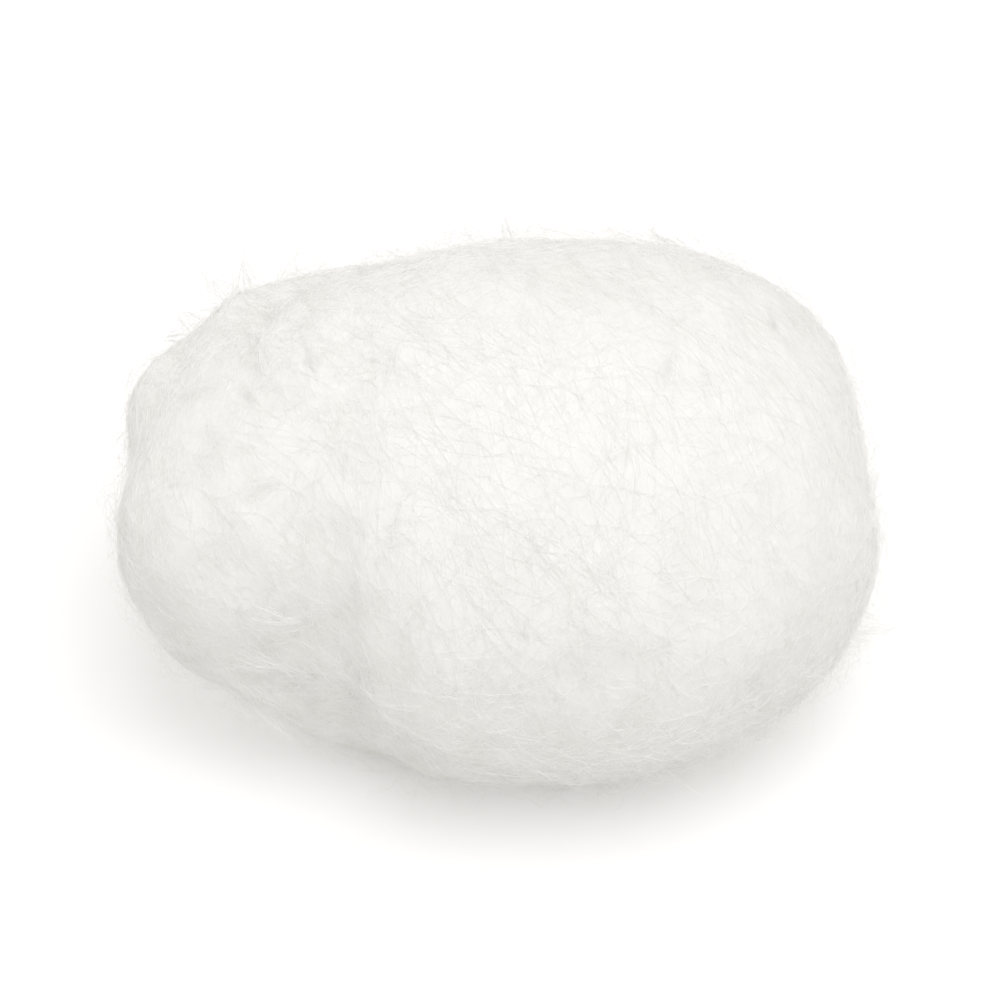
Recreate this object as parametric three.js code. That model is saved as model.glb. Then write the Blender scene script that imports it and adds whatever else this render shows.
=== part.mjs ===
// A single ball of nesting cotton for small pets, in millimetres, +Z up.
// It is one piece of carded cotton web, rolled up about its long axis into an egg with one full,
// round end (+X) and one narrower, gathered end (-X). It is pressed a little flat where it lies.
// The origin is the middle of the ball's box, at the height of the surface that it rests on.
import * as THREE from "three";
import { mergeVertices } from "three/addons/utils/BufferGeometryUtils.js";

// Overall sizes of the resting ball, before its lumps and folds.
const BALL_LENGTH = 47.5;
const BALL_DEPTH = 35.5;
const BALL_HEIGHT = 32;
// How far the soft underside is pressed in where it rests, which sets the width of the flat spot.
const REST_SINK = 1.3;
// How much thicker the full end is, and how much thinner the gathered end, as a share of the middle.
const EGG_TAPER = 0.09;
// How blunt the two ends are: 1 is an ellipse's end, and less is fuller.
const END_BLUNTNESS = 0.94;
// Lines of triangles along each side of the icosahedron that the surface grows from.
const SURFACE_DETAIL = 16;
// Short steps that each fold's line is measured in.
const FOLD_STEPS = 40;

const COTTON_WHITE = 0xf4f2ec;
const COTTON_ROUGHNESS = 0.95;

// A lump stands out softly about its middle. towards is a direction from the ball's centre,
// reach is the angle in degrees at which it has mostly died away, and rise is in millimetres.
const LUMPS = [
  // the gathered end's blunt tip, in front, beside the long hollow
  { towards: [-0.86, -0.42, 0.24], reach: 30, rise: 1.6 },
  // the gathered end's shoulder, behind and above, which carries the tuft
  { towards: [-0.84, 0.4, 0.4], reach: 32, rise: 2.2 },
  // the root of the tuft
  { towards: [-0.6, 0.6, 0.56], reach: 14, rise: 1.0 },
  // the crown of the full end
  { towards: [0.3, -0.1, 0.95], reach: 42, rise: 0.6 },
  // the full end's far shoulder
  { towards: [0.68, 0.45, 0.55], reach: 38, rise: 1.4 },
  // two soft swellings on the far side
  { towards: [0.3, 0.95, -0.1], reach: 34, rise: 1.0 },
  { towards: [-0.35, 0.9, -0.2], reach: 26, rise: 0.9 },
];

// A fold is a soft valley that runs through a row of directions from the ball's centre.
// width is its half-width and depth its depth, in millimetres, each at its start and its end.
const FOLDS = [
  // the long front hollow that parts the gathered end from the full end and opens downwards
  {
    through: [
      [-0.42, -0.35, 0.84],
      [-0.5, -0.62, 0.6],
      [-0.56, -0.78, 0.26],
      [-0.54, -0.8, -0.3],
    ],
    width: [4.0, 6.5],
    depth: [0.5, 2.5],
  },
  // a short fold across the gathered tip
  {
    through: [
      [-0.96, -0.12, -0.16],
      [-0.98, 0.02, 0.18],
      [-0.86, 0.1, 0.5],
    ],
    width: [3.6, 3.6],
    depth: [1.0, 0.5],
  },
  // the edge of the outer turn of web, low along the far side
  {
    through: [
      [0.66, 0.68, 0.32],
      [0.1, 0.92, 0.38],
      [-0.5, 0.84, 0.2],
    ],
    width: [3.6, 4.4],
    depth: [0.6, 1.5],
  },
  // the dimple where the roll is closed at the full end
  {
    through: [
      [0.94, 0.16, 0.3],
      [0.98, 0.04, 0.12],
    ],
    width: [3.6, 3.6],
    depth: [0.8, 1.4],
  },
  // the crease under the front, where the ball bulges over the surface that it rests on
  {
    through: [
      [0.62, -0.62, -0.48],
      [0.16, -0.86, -0.52],
      [-0.3, -0.84, -0.5],
    ],
    width: [4.0, 5.5],
    depth: [0.4, 1.3],
  },
];

// The point of the plain egg in a direction from its centre.
function eggPoint(direction) {
  const waist = 1 + EGG_TAPER * direction.x;
  const along = Math.sign(direction.x) * Math.abs(direction.x) ** END_BLUNTNESS;
  return new THREE.Vector3(
    (along * BALL_LENGTH) / 2,
    (direction.y * BALL_DEPTH * waist) / 2,
    (direction.z * (BALL_HEIGHT + REST_SINK) * waist) / 2,
  );
}

// 1 in the middle of a soft bell and almost 0 past its reach.
function bell(distance, reach) {
  return Math.exp(-2 * (distance / reach) ** 2);
}

// How far all the lumps together stand out in a direction, in millimetres.
function lumpRise(direction) {
  let rise = 0;
  for (const lump of LUMPS) {
    const middle = new THREE.Vector3(...lump.towards).normalize();
    const angle = THREE.MathUtils.radToDeg(direction.angleTo(middle));
    rise += lump.rise * bell(angle, lump.reach);
  }
  return rise;
}

// The line along the bottom of a fold, as points of a smooth curve on the plain egg.
function foldLine(fold) {
  const points = fold.through.map((d) => eggPoint(new THREE.Vector3(...d).normalize()));
  return new THREE.CatmullRomCurve3(points).getPoints(FOLD_STEPS);
}

const foldLines = FOLDS.map(foldLine);

// How deep all the folds together are at a point of the plain egg, in millimetres.
function foldDepth(point) {
  let depth = 0;
  FOLDS.forEach((fold, i) => {
    const distances = foldLines[i].map((p) => p.distanceTo(point));
    const nearest = Math.min(...distances);
    const along = distances.indexOf(nearest) / FOLD_STEPS;
    const width = THREE.MathUtils.lerp(...fold.width, along);
    depth += THREE.MathUtils.lerp(...fold.depth, along) * bell(nearest, width);
  });
  return depth;
}

// The ball's whole surface: an icosahedron's fine triangles, each corner moved out to the cotton.
function ballGeometry() {
  const round = new THREE.IcosahedronGeometry(1, SURFACE_DETAIL);
  round.deleteAttribute("normal");
  round.deleteAttribute("uv");
  const geometry = mergeVertices(round);
  const corners = geometry.getAttribute("position");
  const restHeight = (REST_SINK - BALL_HEIGHT) / 2;
  for (let i = 0; i < corners.count; i++) {
    const direction = new THREE.Vector3().fromBufferAttribute(corners, i).normalize();
    const point = eggPoint(direction);
    point.addScaledVector(direction, lumpRise(direction) - foldDepth(point));
    corners.setXYZ(i, point.x, point.y, Math.max(point.z, restHeight));
  }
  geometry.computeBoundingBox();
  const box = geometry.boundingBox;
  const middle = box.getCenter(new THREE.Vector3());
  geometry.translate(-middle.x, -middle.y, -box.min.z);
  geometry.computeVertexNormals();
  return geometry;
}

const cotton = new THREE.MeshStandardMaterial({
  color: COTTON_WHITE,
  roughness: COTTON_ROUGHNESS,
  metalness: 0,
});

const cottonBall = new THREE.Mesh(ballGeometry(), cotton);
cottonBall.name = "cotton_ball";

const part = new THREE.Group();
part.add(cottonBall);

export default part;
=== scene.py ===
# A ball of pet nesting cotton on a white ground, seen from above at the photograph's angle.
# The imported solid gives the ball's size and its main folds. This script rolls the carded web over
# it, lays loose fibres on the web, and pulls out the fuzz, the stray hairs and the wisps.
import math
import random
from typing import NamedTuple

import bmesh
import bpy
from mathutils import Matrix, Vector


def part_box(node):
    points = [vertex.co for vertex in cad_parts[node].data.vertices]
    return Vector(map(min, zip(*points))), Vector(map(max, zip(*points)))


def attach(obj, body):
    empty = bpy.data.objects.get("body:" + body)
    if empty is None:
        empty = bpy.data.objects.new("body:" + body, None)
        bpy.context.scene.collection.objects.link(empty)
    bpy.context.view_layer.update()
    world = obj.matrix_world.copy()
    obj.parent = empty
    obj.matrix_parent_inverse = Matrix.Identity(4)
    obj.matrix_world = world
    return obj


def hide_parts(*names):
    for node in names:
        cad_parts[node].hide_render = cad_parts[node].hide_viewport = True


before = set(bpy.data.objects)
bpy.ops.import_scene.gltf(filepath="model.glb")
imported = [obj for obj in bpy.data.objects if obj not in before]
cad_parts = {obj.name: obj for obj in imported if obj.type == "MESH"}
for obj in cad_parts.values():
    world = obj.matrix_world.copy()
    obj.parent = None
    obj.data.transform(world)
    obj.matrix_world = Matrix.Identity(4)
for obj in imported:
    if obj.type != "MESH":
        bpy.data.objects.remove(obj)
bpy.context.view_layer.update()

# Sizes in this script are in millimetres, and MM turns them into Blender's metres.
MM = 0.001
BALL_LOW, BALL_HIGH = (Vector(corner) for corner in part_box("cotton_ball"))
BALL_LENGTH = (BALL_HIGH.x - BALL_LOW.x) / MM
BALL_MIDDLE = (BALL_LOW + BALL_HIGH) / 2
AXIS_HEIGHT = BALL_MIDDLE.z / MM

# The web's skin: the size of its faces, and how far below the solid it lies, which leaves room
# for the fibres that lie on it.
VOXEL = 0.75
SKIN_INSET = 0.25
# The long hollow in front that parts the gathered end from the full end, as a bent line near the
# skin: its start high on the front, its bend, and its end low down.
HOLLOW_START = (-10.0, -11.3, 26.5)
HOLLOW_BEND = (-12.5, -18.0, 19.0)
HOLLOW_END = (-9.5, -14.5, 6.5)
# The full end is smooth and calm, and the gathered end is mottled and creased: the places along
# the ball where one starts to turn into the other, and where it has.
CALM_FROM = 5.0
GATHERED_FROM = -13.0
# How near the roll's axis its pattern stops turning round it.
AXIS_CALM = 9.0
# How coarse each pattern is, in cells for each millimetre: the soft swells, the wads of loose
# cotton, the tangle on the skin, the patches in which the web lies one way, and how its direction
# meanders.
SWELL_SCALE = 0.13
WAD_SCALE = 0.24
TANGLE_SCALE = 0.8
PATCH_SCALE = 0.11
MEANDER_SCALE = 0.07
# The same for what only the materials show: the finest grain across the combed direction, the
# clouds of tone, and the twist of a single fibre.
WEB_GRAIN = 7.0
CLOUD_SCALE = 0.3
TWIST_SCALE = 6.0
# How many edges of layers of web there are from the noise's lowest value to its highest.
LAYER_EDGES = 5.0
# How thick a fibre's two ends are, as a share of its middle.
FIBRE_END = 0.2
# The lowest that the skin and the fibres reach above the ground.
SKIN_LOWEST = 0.02
FIBRE_LOWEST = 0.03

# Bleached cotton's colours, from its deeper places to its brighter ones.
WEB_DEEP = (0.957, 0.95, 0.933, 1)
WEB_BRIGHT = (0.978, 0.974, 0.963, 1)
FIBRE_DEEP = (0.98, 0.976, 0.964, 1)
FIBRE_BRIGHT = (0.992, 0.99, 0.984, 1)
WHITE = (1, 1, 1, 1)
FLOOR_GREY = (0.84, 0.84, 0.84, 1)
# Cotton hardly shines.
COTTON_SHINE = 0.15

# The glow that lifts the floor to white for the camera: how strong it is near the ball and far
# away, and how far from the ball the near one ends and the far one starts.
LIFT_NEAR, LIFT_FAR = 0.3, 0.56
NEAR_ENDS, FAR_STARTS = 80, 350

# The room's light is faintly warm and comes from all round, and the lamp's is faintly cool.
ROOM_COLOUR = (1, 0.972, 0.938, 1)
ROOM_LIGHT = 0.65
LAMP_COLOUR = (0.965, 0.985, 1.0)
LAMP_LIGHT = 0.39
LAMP_PLACE = (60, -140, 465)
LAMP_SIZE = 260


def shown_socket(sockets, name):
    """The socket of that name or number that the node uses in its present form."""
    if isinstance(name, int):
        return sockets[name]
    return next(s for s in sockets if s.name == name and s.enabled)


def place(tree, kind, inputs=None, **options):
    """Adds a node, sets its options, and gives each named input a value or a link."""
    node = tree.nodes.new(kind)
    for option, value in options.items():
        setattr(node, option, value)
    for name, value in (inputs or {}).items():
        socket = shown_socket(node.inputs, name)
        if isinstance(value, bpy.types.NodeSocket):
            tree.links.new(value, socket)
        else:
            socket.default_value = value
    return node


def math_of(tree, operation, first, second=0.0, third=0.0):
    """One step of arithmetic on numbers."""
    values = {0: first, 1: second, 2: third}
    return place(tree, "ShaderNodeMath", values, operation=operation).outputs[0]


def vector_of(tree, operation, first, second=(0, 0, 0)):
    """One step of arithmetic on vectors."""
    values = {0: first, 1: second}
    node = place(tree, "ShaderNodeVectorMath", values, operation=operation)
    return node.outputs["Value" if operation in ("LENGTH", "DOT_PRODUCT") else "Vector"]


def scaled(tree, vector, scale):
    """A vector, some number of times as long."""
    values = {0: vector, "Scale": scale}
    return place(tree, "ShaderNodeVectorMath", values, operation="SCALE").outputs["Vector"]


def sum_of(tree, *vectors):
    total = vectors[0]
    for more in vectors[1:]:
        total = vector_of(tree, "ADD", total, more)
    return total


def ramp(tree, value, start, end, low=0.0, high=1.0):
    """A smooth rise from low to high while value goes from start to end."""
    inputs = {"Value": value, "From Min": start, "From Max": end, "To Min": low, "To Max": high}
    return place(tree, "ShaderNodeMapRange", inputs, interpolation_type="SMOOTHSTEP").outputs[0]


def mix(tree, share, first, second):
    """A number that goes from first to second as share goes from 0 to 1."""
    inputs = {"Factor": share, "A": first, "B": second}
    return place(tree, "ShaderNodeMix", inputs, data_type="FLOAT").outputs[0]


def noise(tree, at, scale, detail=1.0, roughness=0.5, seed=0.0, output="Fac"):
    """Soft noise from 0 to 1. at is in millimetres, and scale is in cells for each millimetre."""
    inputs = {"Vector": at, "W": seed, "Scale": scale, "Detail": detail, "Roughness": roughness}
    return place(tree, "ShaderNodeTexNoise", inputs, noise_dimensions="4D").outputs[output]


def wander(tree, at, scale, reach, seed=0.0, detail=1.0):
    """A vector that wanders from place to place, by up to about reach each way."""
    colour = noise(tree, at, scale, detail, seed=seed, output="Color")
    both_ways = vector_of(tree, "SUBTRACT", colour, (0.5, 0.5, 0.5))
    return scaled(tree, both_ways, math_of(tree, "MULTIPLY", reach, 2.0))


def grain(tree, at, across, along, meander, turn=(0.0, 0.0, 0.0), seed=0.0):
    """Coordinates that are stretched the way that the web is rolled, round the ball's long axis.

    across is in cells for each millimetre along the axis, along is in cells for each radian
    round it, and turn tilts the axis, for a patch of web that lies another way.
    """
    from_axis = vector_of(tree, "SUBTRACT", at, (0, 0, AXIS_HEIGHT))
    bent = sum_of(tree, from_axis, wander(tree, at, MEANDER_SCALE, meander, seed))
    tilt = {"Vector": bent, "Rotation": turn}
    turned = place(tree, "ShaderNodeVectorRotate", tilt, rotation_type="EULER_XYZ").outputs[0]
    lengthways = vector_of(tree, "MULTIPLY", turned, (across, 0, 0))
    round_axis = vector_of(tree, "MULTIPLY", turned, (0, 1, 1))
    # near the axis the pattern stops turning, so that it isn't pinched to a point there
    distance = math_of(tree, "MAXIMUM", vector_of(tree, "LENGTH", round_axis), AXIS_CALM)
    onwards = math_of(tree, "DIVIDE", along, distance)
    return sum_of(tree, lengthways, scaled(tree, round_axis, onwards))


# Three ways in which patches of the web lie, as turns of the roll's axis.
WEB_TURNS = ((0.0, 0.0, 0.0), (0.2, 0.5, 0.6), (-0.3, -0.4, -0.5))


def streaks(tree, at, across, along, meander, detail, seed):
    """Streaks of combed fibre, from 0 to 1, that change direction from patch to patch."""
    layers = []
    for i, turn in enumerate(WEB_TURNS):
        where = grain(tree, at, across, along, meander, turn, seed + i)
        layers.append(noise(tree, where, 1.0, detail, 0.6, seed + 10 + i))
    mixed = layers[0]
    for i, layer in enumerate(layers[1:]):
        patch = noise(tree, at, PATCH_SCALE, seed=seed + 20 + i)
        mixed = mix(tree, ramp(tree, patch, 0.47, 0.6), mixed, layer)
    return mixed


def new_tree(name, inputs):
    """An empty geometry tree with a mesh coming in, named sizes and a mesh going out."""
    tree = bpy.data.node_groups.new(name, "GeometryNodeTree")
    tree.interface.new_socket("Geometry", in_out="INPUT", socket_type="NodeSocketGeometry")
    for label, kind in inputs.items():
        tree.interface.new_socket(label, in_out="INPUT", socket_type=kind)
    tree.interface.new_socket("Geometry", in_out="OUTPUT", socket_type="NodeSocketGeometry")
    return tree, tree.nodes.new("NodeGroupInput").outputs


def finish_tree(tree, geometry, material):
    """Ends a tree: instances become real faces, and they all get their material."""
    real = place(tree, "GeometryNodeRealizeInstances", {"Geometry": geometry}).outputs[0]
    inputs = {"Geometry": real, "Material": material}
    dressed = place(tree, "GeometryNodeSetMaterial", inputs).outputs[0]
    place(tree, "NodeGroupOutput", {"Geometry": dressed})


def mark(tree, geometry, name, value, kind="FLOAT", domain="POINT"):
    """Writes a value on each point or fibre, for a later step or a material to read."""
    inputs = {"Geometry": geometry, "Name": name, "Value": value}
    options = {"data_type": kind, "domain": domain}
    return place(tree, "GeometryNodeStoreNamedAttribute", inputs, **options).outputs[0]


def read_mark(tree, name, kind="FLOAT"):
    inputs = {"Name": name}
    return place(tree, "GeometryNodeInputNamedAttribute", inputs, data_type=kind).outputs[0]


def position(tree):
    return place(tree, "GeometryNodeInputPosition").outputs[0]


def position_mm(tree):
    return scaled(tree, position(tree), 1 / MM)


def move(tree, geometry, **where):
    """Moves points to a Position, or by an Offset."""
    return place(tree, "GeometryNodeSetPosition", {"Geometry": geometry, **where}).outputs[0]


def nearest_on(tree, skin):
    """The place on the skin that is nearest to each point."""
    inputs = {"Geometry": skin}
    return place(tree, "GeometryNodeProximity", inputs, target_element="FACES").outputs["Position"]


def calm(tree, vector, rounds):
    """A vector, evened out with its neighbours' over that many rounds."""
    inputs = {"Value": vector, "Iterations": rounds}
    return place(tree, "GeometryNodeBlurAttribute", inputs, data_type="FLOAT_VECTOR").outputs[0]


def grow(obj, tree, values):
    """Runs a geometry tree on an object, keeps the mesh that it makes, and drops the modifier."""
    modifier = obj.modifiers.new(tree.name, "NODES")
    modifier.node_group = tree
    for item in tree.interface.items_tree:
        if item.in_out == "INPUT" and item.name in values:
            modifier[item.identifier] = values[item.name]
    evaluated = obj.evaluated_get(bpy.context.evaluated_depsgraph_get())
    mesh = bpy.data.meshes.new_from_object(evaluated)
    obj.modifiers.clear()
    return mesh


def keep_above_ground(tree, geometry, lowest):
    """Presses whatever reaches below the ground up onto it."""
    raised = vector_of(tree, "MAXIMUM", position(tree), (-1, -1, lowest * MM))
    return move(tree, geometry, Position=raised)


def rise_and_fall(tree, value, height):
    """Noise from 0 to 1 becomes a rise and fall of up to half of height each way."""
    return math_of(tree, "MULTIPLY", math_of(tree, "SUBTRACT", value, 0.5), height)


def hollow_nearness(tree, at):
    """1 along the bottom of the front hollow, and 0 away from it."""
    corners = {
        "Start": HOLLOW_START,
        "Start Handle": HOLLOW_BEND,
        "End Handle": HOLLOW_BEND,
        "End": HOLLOW_END,
    }
    corners = {name: tuple(v * MM for v in corner) for name, corner in corners.items()}
    line = place(tree, "GeometryNodeCurvePrimitiveBezierSegment", corners).outputs[0]
    edges = place(tree, "GeometryNodeCurveToMesh", {"Curve": line}).outputs[0]
    ragged = scaled(tree, sum_of(tree, at, wander(tree, at, 0.22, 1.6, seed=8)), MM)
    reach = {"Geometry": edges, "Sample Position": ragged}
    nearest = place(tree, "GeometryNodeProximity", reach, target_element="EDGES")
    near = ramp(tree, nearest.outputs["Distance"], 0.3 * MM, 7.5 * MM, 1.0, 0.0)
    # it starts shallow at the top and opens downwards
    height = place(tree, "ShaderNodeSeparateXYZ", {0: at}).outputs["Z"]
    return math_of(tree, "MULTIPLY", near, ramp(tree, height, HOLLOW_START[2], HOLLOW_BEND[2] - 5.0))


def web_relief(tree, sizes):
    """How far the skin of the web stands out from the smooth ball, in millimetres."""
    at = position_mm(tree)
    along = place(tree, "ShaderNodeSeparateXYZ", {0: at}).outputs["X"]
    gathered = ramp(tree, along, CALM_FROM, GATHERED_FROM, 0.08, 1.0)

    swell = rise_and_fall(tree, noise(tree, at, SWELL_SCALE, seed=1), sizes["Swell height"])
    torn = sum_of(tree, at, wander(tree, at, 0.3, 1.2, seed=9))
    wads = rise_and_fall(tree, noise(tree, torn, WAD_SCALE, seed=10), sizes["Wad height"])

    # long soft creases, where the ridge of a stretched noise is turned upside down
    where = grain(tree, at, 0.1, 1.1, 5.0, (0.1, 0.25, 0.3), seed=2)
    wave = noise(tree, where, 1.0, seed=3)
    off_ridge = math_of(tree, "ABSOLUTE", math_of(tree, "SUBTRACT", wave, 0.5))
    crease = ramp(tree, off_ridge, 0.0, 0.14, 1.0, 0.0)
    sparse = ramp(tree, noise(tree, at, 0.06, seed=4), 0.44, 0.58)
    crease = math_of(tree, "MULTIPLY", math_of(tree, "MULTIPLY", crease, sparse), sizes["Crease depth"])

    # the edges of layers of web: each rises slowly and drops off at its edge
    where = grain(tree, at, 0.085, 0.35, 7.0, (0.0, 0.15, 0.35), seed=5)
    count = math_of(tree, "MULTIPLY", noise(tree, where, 1.0, seed=6), LAYER_EDGES)
    climb = math_of(tree, "FRACT", count)
    rising = ramp(tree, climb, 0.0, 0.75)
    layer = math_of(tree, "MULTIPLY", rising, ramp(tree, climb, 0.78, 1.0, 1.0, 0.0))
    layer = math_of(tree, "MULTIPLY", layer, sizes["Layer height"])

    comb = streaks(tree, at, 1.6, 3.2, 3.0, 3.0, seed=30)
    comb = rise_and_fall(tree, comb, sizes["Streak height"])
    tangle = noise(tree, at, TANGLE_SCALE, 3.0, 0.6, seed=7)
    tangle = rise_and_fall(tree, tangle, sizes["Tangle height"])

    folds = math_of(tree, "SUBTRACT", math_of(tree, "ADD", wads, layer), crease)
    height = math_of(tree, "MULTIPLY_ADD", folds, gathered, swell)
    for more in (comb, tangle):
        height = math_of(tree, "ADD", height, more)
    hollow = math_of(tree, "MULTIPLY", hollow_nearness(tree, at), sizes["Hollow depth"])
    height = math_of(tree, "SUBTRACT", height, hollow)
    return math_of(tree, "SUBTRACT", height, sizes["Inset"])


# How far each kind of relief on the skin rises or sinks.
RELIEF = {
    "Inset": SKIN_INSET,
    "Swell height": 1.0,
    "Wad height": 1.0,
    "Crease depth": 0.6,
    "Layer height": 0.32,
    "Streak height": 0.1,
    "Tangle height": 0.08,
    "Hollow depth": 1.8,
}


def web_tree(material):
    """The skin of the rolled web: soft swells, creases, the edges of layers, and combed streaks."""
    tree, sizes = new_tree("rolled_cotton_web", {label: "NodeSocketFloat" for label in RELIEF})
    halved = {"Mesh": sizes["Geometry"], "Level": 1}
    fine = place(tree, "GeometryNodeSubdivisionSurface", halved).outputs[0]
    smooth = move(tree, fine, Position=calm(tree, position(tree), 6))

    normal = place(tree, "GeometryNodeInputNormal").outputs[0]
    height = math_of(tree, "MULTIPLY", web_relief(tree, sizes), MM)
    relief = move(tree, smooth, Offset=scaled(tree, normal, height))
    resting = keep_above_ground(tree, relief, SKIN_LOWEST)

    marked = mark(tree, resting, "web_normal", calm(tree, normal, 10), "FLOAT_VECTOR")
    at = position_mm(tree)
    for i, turn in enumerate(WEB_TURNS[:2]):
        comb = grain(tree, at, 1.0, 3.0, 3.0, turn, 80 + i)
        marked = mark(tree, marked, f"comb_{i + 1}", comb, "FLOAT_VECTOR")
    patch = noise(tree, at, PATCH_SCALE, seed=82)
    marked = mark(tree, marked, "comb_share", ramp(tree, patch, 0.45, 0.55))
    rounded = place(tree, "GeometryNodeSetShadeSmooth", {"Geometry": marked}).outputs[0]
    finish_tree(tree, rounded, material)
    return tree


def straight_line(tree, ends, points):
    """A line of that many points between two ends, or a metre upwards if no ends are given."""
    line = place(tree, "GeometryNodeCurvePrimitiveLine", ends).outputs[0]
    inputs = {"Curve": line, "Count": points}
    return place(tree, "GeometryNodeResampleCurve", inputs).outputs[0]


def threads_on(tree, lines, thickness):
    """Three-sided threads along lines, thinner towards both ends."""
    factor = place(tree, "GeometryNodeSplineParameter").outputs["Factor"]
    taper = math_of(tree, "SINE", math_of(tree, "MULTIPLY", factor, math.pi))
    taper = math_of(tree, "POWER", taper, 0.4)
    radius = math_of(tree, "MULTIPLY", thickness, MM / 2)
    share = math_of(tree, "MULTIPLY_ADD", taper, 1.0 - FIBRE_END, FIBRE_END)
    radius = math_of(tree, "MULTIPLY", radius, share)
    section = {"Resolution": 3, "Radius": 1.0}
    three_sided = place(tree, "GeometryNodeCurvePrimitiveCircle", section).outputs[0]
    inputs = {"Curve": lines, "Profile Curve": three_sided, "Scale": radius, "Fill Caps": True}
    threads = place(tree, "GeometryNodeCurveToMesh", inputs).outputs[0]
    flat = {"Geometry": threads, "Shade Smooth": False}
    return place(tree, "GeometryNodeSetShadeSmooth", flat).outputs[0]


# The loose fibres: how many, how long and thick they are, how far each may stray from the way that
# the web is rolled (in radians), how high they lie and rise, how they curl, how free one end is
# (0 for a fibre that is caught at both ends, 1 for one that is caught only at its start), the
# points along each, and the seed of the whole kind.
LYING_FIBRE = {
    "Fibres per square mm": 0.8,
    "Shortest": 4.0,
    "Longest": 12.0,
    "Thickness": 0.028,
    "Spread": 0.8,
    "Bed height": 0.01,
    "Rise": 0.25,
    "Curl": 1.6,
    "Curl scale": 0.25,
    "Free end": 0.0,
    "Points": 7,
}
FIBRE_KINDS = {
    "first_lying_fibres": {**LYING_FIBRE, "Seed": 1},
    "second_lying_fibres": {**LYING_FIBRE, "Seed": 11},
    "third_lying_fibres": {**LYING_FIBRE, "Seed": 21},
    "short_fuzz": {
        "Fibres per square mm": 1.4,
        "Shortest": 1.0,
        "Longest": 3.4,
        "Thickness": 0.022,
        "Spread": 1.6,
        "Bed height": -0.02,
        "Rise": 2.0,
        "Curl": 1.0,
        "Curl scale": 0.55,
        "Free end": 0.6,
        "Points": 5,
        "Seed": 31,
    },
    "loose_loops": {
        "Fibres per square mm": 1.1,
        "Shortest": 2.5,
        "Longest": 7.0,
        "Thickness": 0.022,
        "Spread": 1.3,
        "Bed height": -0.01,
        "Rise": 1.7,
        "Curl": 1.5,
        "Curl scale": 0.35,
        "Free end": 0.15,
        "Points": 6,
        "Seed": 41,
    },
    "stray_hairs": {
        "Fibres per square mm": 0.1,
        "Shortest": 4.0,
        "Longest": 9.0,
        "Thickness": 0.024,
        "Spread": 1.6,
        "Bed height": -0.02,
        "Rise": 4.4,
        "Curl": 2.0,
        "Curl scale": 0.3,
        "Free end": 0.8,
        "Points": 12,
        "Seed": 3,
    },
}


def fibre_heading(tree, roots_normal, stray):
    """Which way a fibre lies: the way that the web is rolled, with a swirl, turned by stray."""
    swirl = wander(tree, position_mm(tree), 0.1, 1.3, seed=50)
    roll_axis = vector_of(tree, "ADD", (1, 0, 0), swirl)
    along_web = vector_of(tree, "CROSS_PRODUCT", roots_normal, roll_axis)
    along_web = vector_of(tree, "NORMALIZE", along_web)
    axes = {"Primary Axis": roots_normal, "Secondary Axis": along_web}
    which = {"primary_axis": "Z", "secondary_axis": "X"}
    facing = place(tree, "FunctionNodeAxesToRotation", axes, **which).outputs[0]
    turn = {"Axis": (0, 0, 1), "Angle": stray}
    turn = place(tree, "FunctionNodeAxisAngleToRotation", turn).outputs[0]
    both = {"Rotation": facing, "Rotate By": turn}
    return place(tree, "FunctionNodeRotateRotation", both, rotation_space="LOCAL").outputs[0]


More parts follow.
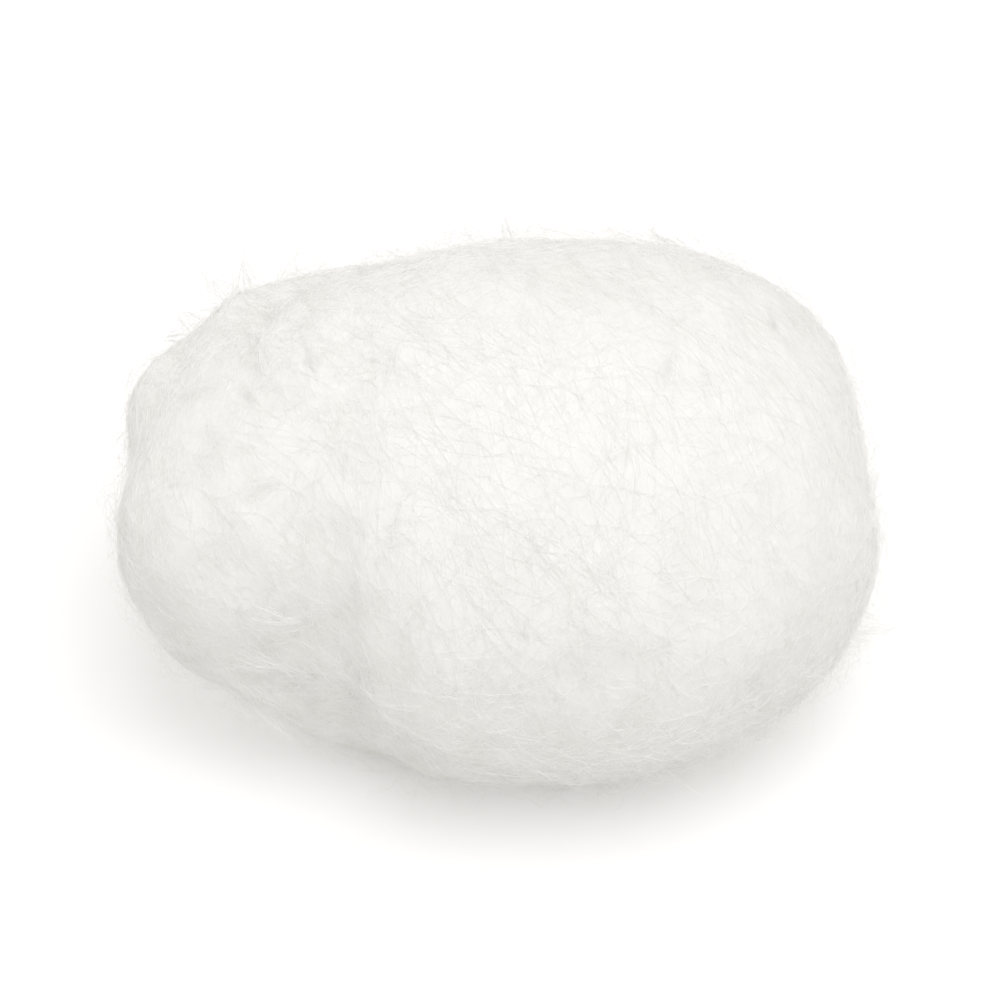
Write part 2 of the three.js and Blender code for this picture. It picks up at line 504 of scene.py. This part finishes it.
def fibre_tree(material):
    """Loose fibres: each starts as a straight line on the skin, is bent onto it, and curls."""
    whole = ("Points", "Seed")
    labels = {**LYING_FIBRE, "Seed": 0}
    kinds = {label: "NodeSocketInt" if label in whole else "NodeSocketFloat" for label in labels}
    tree, sizes = new_tree("loose_cotton_fibres", kinds)
    skin = sizes["Geometry"]

    def chance(number, low=0.0, high=1.0):
        seed = math_of(tree, "ADD", sizes["Seed"], float(number))
        values = {"Min": low, "Max": high, "Seed": seed}
        return place(tree, "FunctionNodeRandomValue", values, data_type="FLOAT").outputs["Value"]

    density = math_of(tree, "MULTIPLY", sizes["Fibres per square mm"], 1 / MM**2)
    spots = {"Mesh": skin, "Density": density, "Seed": sizes["Seed"]}
    spots = place(tree, "GeometryNodeDistributePointsOnFaces", spots, distribute_method="RANDOM")

    spread = sizes["Spread"]
    back = math_of(tree, "MULTIPLY", spread, -1.0)
    stray = math_of(tree, "ADD", chance(1, back, spread), chance(2, back, spread))
    heading = fibre_heading(tree, spots.outputs["Normal"], stray)

    line = straight_line(tree, {"Start": (-0.5, 0, 0), "End": (0.5, 0, 0)}, sizes["Points"])
    # short fibres are commoner than long ones
    share = math_of(tree, "POWER", chance(3), 1.5)
    span = math_of(tree, "SUBTRACT", sizes["Longest"], sizes["Shortest"])
    length = math_of(tree, "MULTIPLY_ADD", share, span, sizes["Shortest"])
    length = math_of(tree, "MULTIPLY", length, MM)
    stretch = place(tree, "ShaderNodeCombineXYZ", {"X": length, "Y": 1.0, "Z": 1.0}).outputs[0]
    copies = {"Points": spots.outputs["Points"], "Instance": line}
    copies.update({"Rotation": heading, "Scale": stretch})
    fibres = place(tree, "GeometryNodeInstanceOnPoints", copies).outputs[0]
    for number, name in ((4, "fibre_tone"), (5, "fibre_curl"), (6, "fibre_rise")):
        fibres = mark(tree, fibres, name, chance(number), domain="INSTANCE")
    fibres = place(tree, "GeometryNodeRealizeInstances", {"Geometry": fibres}).outputs[0]

    # how far along the fibre, and how freely it moves there: both ends of a lying fibre are caught
    # in the web, and a loose one is caught only at its start
    factor = place(tree, "GeometryNodeSplineParameter").outputs["Factor"]
    arch = math_of(tree, "SINE", math_of(tree, "MULTIPLY", factor, math.pi))
    lift_off = math_of(tree, "POWER", factor, 1.6)
    freedom = mix(tree, sizes["Free end"], arch, lift_off)

    # each fibre curls in its own way, because it reads the noise far from where the others do
    apart = scaled(tree, (311.0, 173.0, 457.0), read_mark(tree, "fibre_curl"))
    where = vector_of(tree, "ADD", position_mm(tree), apart)
    curl_reach = math_of(tree, "MULTIPLY", sizes["Curl"], MM)
    curls = wander(tree, where, sizes["Curl scale"], curl_reach, seed=60, detail=2.0)
    sideways = scaled(tree, curls, math_of(tree, "ADD", freedom, 0.35))
    curled = move(tree, fibres, Position=vector_of(tree, "ADD", position(tree), sideways))

    web_normal = read_mark(tree, "web_normal", "FLOAT_VECTOR")
    facing = {"Mesh": skin, "Value": web_normal}
    facing = place(tree, "GeometryNodeSampleNearestSurface", facing, data_type="FLOAT_VECTOR")
    # most fibres stay low, and a few rise far
    own_rise = math_of(tree, "POWER", read_mark(tree, "fibre_rise"), 1.7)
    own_rise = math_of(tree, "MULTIPLY", own_rise, sizes["Rise"])
    flutter = noise(tree, where, sizes["Curl scale"], seed=70)
    flutter = math_of(tree, "MULTIPLY", freedom, math_of(tree, "MULTIPLY", flutter, 2.0))
    rise = math_of(tree, "MULTIPLY", own_rise, flutter)
    height = math_of(tree, "MULTIPLY", math_of(tree, "ADD", rise, sizes["Bed height"]), MM)
    off_skin = vector_of(tree, "ADD", nearest_on(tree, skin), scaled(tree, facing.outputs[0], height))
    laid = keep_above_ground(tree, move(tree, curled, Position=off_skin), FIBRE_LOWEST)

    finish_tree(tree, threads_on(tree, laid, sizes["Thickness"]), material)
    return tree


# Every wisp's fibres: how many, the points along each, how thick they are, how deep their roots
# are sunk in the web, and how they curl.
WISP_SIZES = {
    "Fibres": 26,
    "Points": 7,
    "Thickness": 0.026,
    "Root depth": 0.5,
    "Curl": 0.9,
    "Curl scale": 0.5,
}


def wisp_tree(material):
    """Pointed wisps pulled out of the web: fibres that start side by side and meet at a tip.

    The mesh that comes in has one corner for each wisp, which carries its heading, length,
    breadth and bend.
    """
    kinds = {"Skin": "NodeSocketObject"}
    for label in WISP_SIZES:
        kinds[label] = "NodeSocketInt" if label in ("Fibres", "Points") else "NodeSocketFloat"
    tree, sizes = new_tree("pulled_cotton_wisps", kinds)
    skin = place(tree, "GeometryNodeObjectInfo", {"Object": sizes["Skin"]}).outputs["Geometry"]
    heading = read_mark(tree, "wisp_heading", "FLOAT_VECTOR")
    sunk = scaled(tree, heading, math_of(tree, "MULTIPLY", sizes["Root depth"], -MM))
    root = vector_of(tree, "ADD", nearest_on(tree, skin), sunk)
    roots = mark(tree, sizes["Geometry"], "wisp_root", root, "FLOAT_VECTOR")
    copies = {"Geometry": roots, "Amount": sizes["Fibres"]}
    starts = place(tree, "GeometryNodeDuplicateElements", copies, domain="POINT").outputs["Geometry"]

    # each fibre starts a little to one side of the wisp's middle
    sides = {"Min": (-1, -1, -1), "Max": (1, 1, 1), "Seed": 1}
    side = place(tree, "FunctionNodeRandomValue", sides, data_type="FLOAT_VECTOR").outputs["Value"]
    along_heading = scaled(tree, heading, vector_of(tree, "DOT_PRODUCT", side, heading))
    side = vector_of(tree, "SUBTRACT", side, along_heading)
    starts = mark(tree, starts, "fibre_side", side, "FLOAT_VECTOR")
    for seed, name, low in ((2, "fibre_tone", 0.0), (3, "fibre_reach", 0.35), (4, "fibre_curl", 0.0)):
        chance = {"Min": low, "Max": 1.0, "Seed": seed}
        value = place(tree, "FunctionNodeRandomValue", chance, data_type="FLOAT").outputs["Value"]
        starts = mark(tree, starts, name, value)

    line = straight_line(tree, None, sizes["Points"])
    copies = {"Points": starts, "Instance": line}
    lines = place(tree, "GeometryNodeInstanceOnPoints", copies).outputs[0]
    lines = place(tree, "GeometryNodeRealizeInstances", {"Geometry": lines}).outputs[0]

    # factor runs from 0 at a fibre's root to 1 at its end, and far is how far that is up the wisp
    factor = place(tree, "GeometryNodeSplineParameter").outputs["Factor"]
    far = math_of(tree, "MULTIPLY", factor, read_mark(tree, "fibre_reach"))
    length = math_of(tree, "MULTIPLY", read_mark(tree, "wisp_length"), far)
    onward = scaled(tree, heading, length)
    narrowing = ramp(tree, far, 0.0, 1.0, 1.0, 0.08)
    breadth = math_of(tree, "MULTIPLY", read_mark(tree, "wisp_breadth"), narrowing)
    aside = scaled(tree, read_mark(tree, "fibre_side", "FLOAT_VECTOR"), breadth)
    bend = read_mark(tree, "wisp_bend", "FLOAT_VECTOR")
    bend = scaled(tree, bend, math_of(tree, "MULTIPLY", far, far))
    start = read_mark(tree, "wisp_root", "FLOAT_VECTOR")
    point = sum_of(tree, start, onward, aside, bend)
    apart = scaled(tree, (3.1, 1.7, 4.5), read_mark(tree, "fibre_curl"))
    where = vector_of(tree, "ADD", scaled(tree, point, 1 / MM), apart)
    curl_reach = math_of(tree, "MULTIPLY", sizes["Curl"], MM)
    curl = wander(tree, where, sizes["Curl scale"], curl_reach, seed=5)
    point = vector_of(tree, "ADD", point, scaled(tree, curl, factor))
    pulled = keep_above_ground(tree, move(tree, lines, Position=point), FIBRE_LOWEST)
    finish_tree(tree, threads_on(tree, pulled, sizes["Thickness"]), material)
    return tree


def new_material(name):
    material = bpy.data.materials.new(name)
    material.use_nodes = True
    material.node_tree.nodes.clear()
    return material, material.node_tree


def painted(tree, name, output):
    """A value that the geometry trees wrote on the piece."""
    return place(tree, "ShaderNodeAttribute", attribute_name=name).outputs[output]


def object_mm(tree):
    """Where a point of the piece is, in millimetres."""
    return scaled(tree, place(tree, "ShaderNodeTexCoord").outputs["Object"], 1 / MM)


def shader_noise(tree, at, scale, **sizes):
    inputs = {"Vector": at, "Scale": scale, **sizes}
    return place(tree, "ShaderNodeTexNoise", inputs).outputs["Fac"]


def cotton_tone_group():
    """Bleached cotton: faintly warm, a little uneven in clouds and from fibre to fibre."""
    tree = bpy.data.node_groups.new("bleached_cotton_tone", "ShaderNodeTree")
    tree.interface.new_socket("Fibre", in_out="INPUT", socket_type="NodeSocketFloat")
    tree.interface.new_socket("Deep", in_out="INPUT", socket_type="NodeSocketColor")
    tree.interface.new_socket("Bright", in_out="INPUT", socket_type="NodeSocketColor")
    tree.interface.new_socket("Colour", in_out="OUTPUT", socket_type="NodeSocketColor")
    tree.interface.new_socket("Roughness", in_out="OUTPUT", socket_type="NodeSocketFloat")
    sizes = tree.nodes.new("NodeGroupInput").outputs
    cloud = shader_noise(tree, object_mm(tree), CLOUD_SCALE, Detail=2.0)
    tone = math_of(tree, "MULTIPLY_ADD", math_of(tree, "SUBTRACT", sizes["Fibre"], 0.5), 0.6, cloud)
    blend = {"Factor": ramp(tree, tone, 0.25, 0.75), "A": sizes["Deep"], "B": sizes["Bright"]}
    colour = place(tree, "ShaderNodeMix", blend, data_type="RGBA").outputs["Result"]
    rough = ramp(tree, cloud, 0.3, 0.7, 0.85, 1.0)
    place(tree, "NodeGroupOutput", {"Colour": colour, "Roughness": rough})
    return tree


def finish_material(tree, tone, colours, bump):
    """A matt shader that takes its colour and roughness from the tone group."""
    look = place(tree, "ShaderNodeGroup", colours, node_tree=tone).outputs
    normal = place(tree, "ShaderNodeBump", bump).outputs[0]
    inputs = {"Base Color": look["Colour"], "Roughness": look["Roughness"], "Normal": normal}
    inputs["Specular IOR Level"] = COTTON_SHINE
    shader = place(tree, "ShaderNodeBsdfPrincipled", inputs)
    place(tree, "ShaderNodeOutputMaterial", {"Surface": shader.outputs[0]})


def web_material(tone):
    """The skin of the carded web: matt, with a fine grain that follows the way it was combed."""
    material, tree = new_material("carded_cotton_web")
    ways = [painted(tree, name, "Vector") for name in ("comb_1", "comb_2")]
    combs = [shader_noise(tree, at, WEB_GRAIN, Detail=2.0, Roughness=0.6) for at in ways]
    comb = mix(tree, painted(tree, "comb_share", "Fac"), *combs)
    colours = {"Fibre": comb, "Deep": WEB_DEEP, "Bright": WEB_BRIGHT}
    bump = {"Strength": 0.7, "Distance": 0.02 * MM, "Height": comb}
    finish_material(tree, tone, colours, bump)
    return material


def fibre_material(tone):
    """A single cotton fibre: a little brighter than the web, and each its own tone."""
    material, tree = new_material("cotton_fibre")
    own = painted(tree, "fibre_tone", "Fac")
    colours = {"Fibre": own, "Deep": FIBRE_DEEP, "Bright": FIBRE_BRIGHT}
    twist = shader_noise(tree, object_mm(tree), TWIST_SCALE, Detail=0.0)
    bump = {"Strength": 0.3, "Distance": 0.01 * MM, "Height": twist}
    finish_material(tree, tone, colours, bump)
    return material


def new_piece(name, mesh):
    piece = bpy.data.objects.new(name, mesh)
    bpy.context.collection.objects.link(piece)
    return piece


def ball_form():
    """A merged copy of the solid, made smooth and given small even faces."""
    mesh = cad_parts["cotton_ball"].data.copy()
    mesh.materials.clear()
    form = bmesh.new()
    form.from_mesh(mesh)
    bmesh.ops.remove_doubles(form, verts=form.verts, dist=0.001 * MM)
    bmesh.ops.recalc_face_normals(form, faces=form.faces)
    form.to_mesh(mesh)
    form.free()
    body = new_piece("cotton_body", mesh)
    smoother = body.modifiers.new("smoother", "SUBSURF")
    smoother.levels = smoother.render_levels = 1
    remesh = body.modifiers.new("even_faces", "REMESH")
    remesh.mode = "VOXEL"
    remesh.voxel_size = VOXEL * MM
    return body


def make_body(material):
    body = ball_form()
    body.data = grow(body, web_tree(material), RELIEF)
    return body


def make_fibres(name, body, tree, values):
    fibres = new_piece(name, body.data)
    fibres.data = grow(fibres, tree, values)
    return fibres


class Wisp(NamedTuple):
    """Where a wisp stands, which way it points, how it bends, and its length and breadth."""

    at: tuple
    heading: tuple
    bend: tuple
    length: float
    breadth: float


# The wisps that the photograph shows on the ball.
SHOWN_WISPS = (
    # the tuft on the shoulder of the gathered end
    Wisp((-15.5, 9.5, 27.5), (-0.6, 0.5, 0.35), (1.6, 0.6, 1.2), 3.4, 1.5),
    Wisp((-14.0, 10.5, 27.5), (-0.3, 0.7, 0.4), (1.8, 0.2, 0.6), 3.0, 1.3),
    Wisp((-17.0, 8.0, 26.0), (-0.6, 0.6, 0.1), (-0.5, 0.8, 1.4), 3.0, 1.3),
    Wisp((-13.0, 10.0, 28.0), (0.6, 0.5, 0.3), (1.2, 0.2, 0.6), 2.8, 1.0),
    Wisp((-18.5, 7.0, 23.5), (-0.5, 0.5, 0.2), (-0.6, 0.4, 1.2), 2.6, 1.0),
    Wisp((-16.3, 9.0, 27.0), (0.3, 0.7, 0.5), (-1.2, 0.2, 0.5), 2.6, 1.2),
    # the pointed wisp low on the right of the full end
    Wisp((21.0, -6.0, 12.0), (0.8, -0.5, 0.25), (0.5, 0.2, 1.0), 4.0, 0.9),
    Wisp((20.5, -7.0, 11.5), (0.9, -0.4, 0.1), (0.2, 0.1, 0.6), 3.0, 0.8),
    # ragged wisps along the left edge of the front hollow, where the web is torn
    Wisp((-16.0, -11.5, 8.0), (0.5, -0.8, -0.2), (1.0, 0.2, -0.8), 4.6, 1.3),
    Wisp((-16.5, -12.5, 11.0), (0.7, -0.65, 0.0), (1.0, 0.5, -0.8), 4.2, 1.2),
    Wisp((-15.5, -13.0, 14.5), (0.75, -0.6, 0.0), (0.8, 0.6, -0.7), 3.6, 1.0),
    Wisp((-14.5, -13.0, 18.5), (0.75, -0.5, 0.2), (0.6, 0.6, -0.6), 3.0, 0.9),
)
# The wisps scattered over the rest of the skin: how many, the lowest place for one, the chance
# that a wisp stays where it fell on the gathered end and on the rest, and where that end starts.
SMALL_WISPS = 46
LOWEST_WISP = 2.0
GATHERED_SHARE = 0.9
FULL_SHARE = 0.45
GATHERED_WISPS_FROM = -4.0


def scattered_wisps(body):
    """Small wisps all over the skin that lie low, more of them on the gathered end."""
    chance = random.Random(7)
    corners = body.data.vertices
    wisps = []
    while len(wisps) < SMALL_WISPS:
        corner = corners[chance.randrange(len(corners))]
        at, outwards = corner.co / MM, corner.normal
        share = GATHERED_SHARE if at.x < GATHERED_WISPS_FROM else FULL_SHARE
        keep = chance.random() < share
        if not keep or at.z < LOWEST_WISP:
            continue
        swirl = Vector([chance.uniform(-1, 1) for _ in range(3)])
        flat = outwards.cross(Vector((1, 0, 0)) + swirl * 0.7).normalized()
        heading = (flat + outwards * chance.uniform(0.12, 0.5)).normalized()
        bend = swirl * 0.8 - outwards * chance.uniform(0.0, 0.8)
        length = chance.uniform(2.0, 4.6)
        breadth = length * chance.uniform(0.1, 0.2)
        wisps.append(Wisp(at, heading, bend, length, breadth))
    return wisps


def make_wisps(body, tree):
    """One mesh of all the wisps, grown from one corner for each."""
    wisps = [*SHOWN_WISPS, *scattered_wisps(body)]
    roots = bpy.data.meshes.new("wisp_roots")
    roots.from_pydata([Vector(wisp.at) * MM for wisp in wisps], [], [])
    for name, unit in (("heading", 1.0), ("bend", MM)):
        values = roots.attributes.new(f"wisp_{name}", "FLOAT_VECTOR", "POINT").data
        for value, wisp in zip(values, wisps):
            value.vector = Vector(getattr(wisp, name)) * unit
    for name in ("length", "breadth"):
        values = roots.attributes.new(f"wisp_{name}", "FLOAT", "POINT").data
        for value, wisp in zip(values, wisps):
            value.value = getattr(wisp, name) * MM
    pulled = new_piece("pulled_wisps", roots)
    pulled.data = grow(pulled, tree, {"Skin": body, **WISP_SIZES})
    return pulled


def seen_by_camera(tree):
    """1 for what the camera sees, directly or in gloss and glass, and 0 for what lights the ball."""
    path = place(tree, "ShaderNodeLightPath").outputs
    seen = math_of(tree, "MAXIMUM", path["Is Camera Ray"], path["Is Glossy Ray"])
    return math_of(tree, "MAXIMUM", seen, path["Is Transmission Ray"])


def add_floor():
    bpy.ops.mesh.primitive_plane_add(size=4.0)
    floor = bpy.context.active_object
    floor.name = "floor"
    material, tree = new_material("white_ground")
    plain = place(tree, "ShaderNodeBsdfDiffuse", {"Color": FLOOR_GREY}).outputs[0]
    # what the camera sees is lifted to white, and more so far away, where the lamp's light runs out
    away = vector_of(tree, "LENGTH", place(tree, "ShaderNodeTexCoord").outputs["Object"])
    lift = ramp(tree, away, NEAR_ENDS * MM, FAR_STARTS * MM, LIFT_NEAR, LIFT_FAR)
    lift = math_of(tree, "MULTIPLY", seen_by_camera(tree), lift)
    glow = place(tree, "ShaderNodeEmission", {"Color": WHITE, "Strength": lift}).outputs[0]
    both = place(tree, "ShaderNodeAddShader", {0: plain, 1: glow}).outputs[0]
    place(tree, "ShaderNodeOutputMaterial", {"Surface": both})
    floor.data.materials.append(material)


def add_world():
    """A white room: its light is softer than the white that the camera sees behind the ball."""
    world = bpy.data.worlds.new("white_room")
    bpy.context.scene.world = world
    world.use_nodes = True
    tree = world.node_tree
    tree.nodes.clear()
    room = {"Color": ROOM_COLOUR, "Strength": ROOM_LIGHT}
    room = place(tree, "ShaderNodeBackground", room).outputs[0]
    backdrop = {"Color": WHITE, "Strength": 1.0}
    backdrop = place(tree, "ShaderNodeBackground", backdrop).outputs[0]
    either = {0: seen_by_camera(tree), 1: room, 2: backdrop}
    either = place(tree, "ShaderNodeMixShader", either).outputs[0]
    place(tree, "ShaderNodeOutputWorld", {"Surface": either})


def add_lamp():
    """A soft square lamp that adds its share of full white to a surface at the ball that faces it."""
    data = bpy.data.lights.new("key_lamp", "AREA")
    data.size = LAMP_SIZE * MM
    data.color = LAMP_COLOUR
    lamp = bpy.data.objects.new("key_lamp", data)
    bpy.context.collection.objects.link(lamp)
    lamp.location = Vector(LAMP_PLACE) * MM
    towards = BALL_MIDDLE - lamp.location
    lamp.rotation_euler = towards.to_track_quat("-Z", "Y").to_euler()
    data.energy = LAMP_LIGHT * math.pi**2 * towards.length**2


def add_camera():
    """A long lens at the photograph's angle, about 45 degrees above the front of the ball."""
    data = bpy.data.cameras.new("camera")
    data.lens = 180
    data.clip_start = 0.01
    camera = bpy.data.objects.new("camera", data)
    bpy.context.collection.objects.link(camera)
    share_of_frame = 0.76
    elevation = math.radians(45)
    distance = BALL_LENGTH * MM / share_of_frame * data.lens / data.sensor_width
    back = Vector((0, -math.cos(elevation), math.sin(elevation)))
    camera.location = BALL_MIDDLE + back * distance
    camera.rotation_euler = (-back).to_track_quat("-Z", "Y").to_euler()
    bpy.context.scene.camera = camera


tone = cotton_tone_group()
cotton_body = make_body(web_material(tone))
fibre = fibre_material(tone)
fibres_tree = fibre_tree(fibre)
pieces = [cotton_body]
for name, values in FIBRE_KINDS.items():
    pieces.append(make_fibres(name, cotton_body, fibres_tree, values))
pieces.append(make_wisps(cotton_body, wisp_tree(fibre)))
for piece in pieces:
    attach(piece, "root")
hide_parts("cotton_ball")

add_floor()
add_world()
add_lamp()
add_camera()
scene = bpy.context.scene
scene.view_settings.view_transform = "Standard"
# white fibres pass light on many times before it is lost, and what little they mirror onto each
# other doesn't show
scene.cycles.diffuse_bounces = 7
scene.cycles.max_bounces = 8
scene.cycles.caustics_reflective = False
scene.cycles.caustics_refractive = False
# one lamp needs no light tree, and split boxes find thin fibres sooner
scene.cycles.use_light_tree = False
scene.cycles.debug_use_spatial_splits = True
